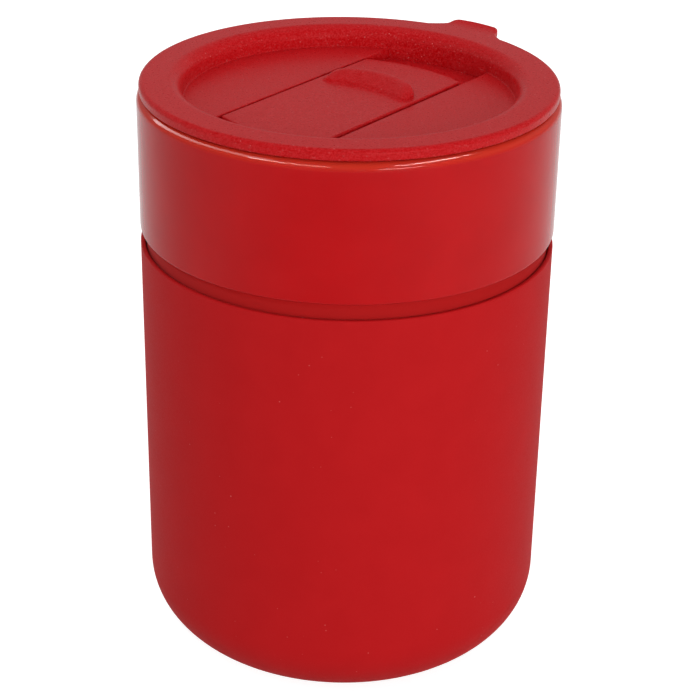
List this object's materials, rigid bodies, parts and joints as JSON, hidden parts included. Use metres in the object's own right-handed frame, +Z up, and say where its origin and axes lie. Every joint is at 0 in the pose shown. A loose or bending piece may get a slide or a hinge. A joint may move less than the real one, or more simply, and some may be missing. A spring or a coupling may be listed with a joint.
{
  "type": "mug with lid",
  "caption": "Ceramic travel mug in a silicone sleeve, with a plug-in lid whose shutter slides along a channel to cover or open a sip hole.",
  "frame": {"origin": "on the mug's axis, at the centre of the flat base, on the surface that it stands on", "axes": "+Z up along the mug's axis, -Y towards the lid's sip hole, +Y towards the lid's lift tab"},
  "size_m": [0.072, 0.0753, 0.105],
  "materials": {
    "red_glaze": "glossy red glaze over stoneware",
    "red_silicone": "matte red silicone",
    "red_plastic": "fine-grained matte red polypropylene"
  },
  "bodies": {
    "mug": {"ceramic_cup": "red_glaze", "silicone_sleeve": "red_silicone"},
    "lid": {"lid_body": "red_plastic", "lid_seal": "red_silicone"},
    "slider": {"lid_slider": "red_plastic"}
  },
  "joints": [
    {"name": "lid_lift", "type": "slide", "parent": "mug", "child": "lid", "axis": [0, 0, 1], "range_m": [0, 0.04]},
    {"name": "slider_slide", "type": "slide", "parent": "lid", "child": "slider", "axis": [0, 1, 0], "range_m": [-0.0044, 0.0075]}
  ]
}
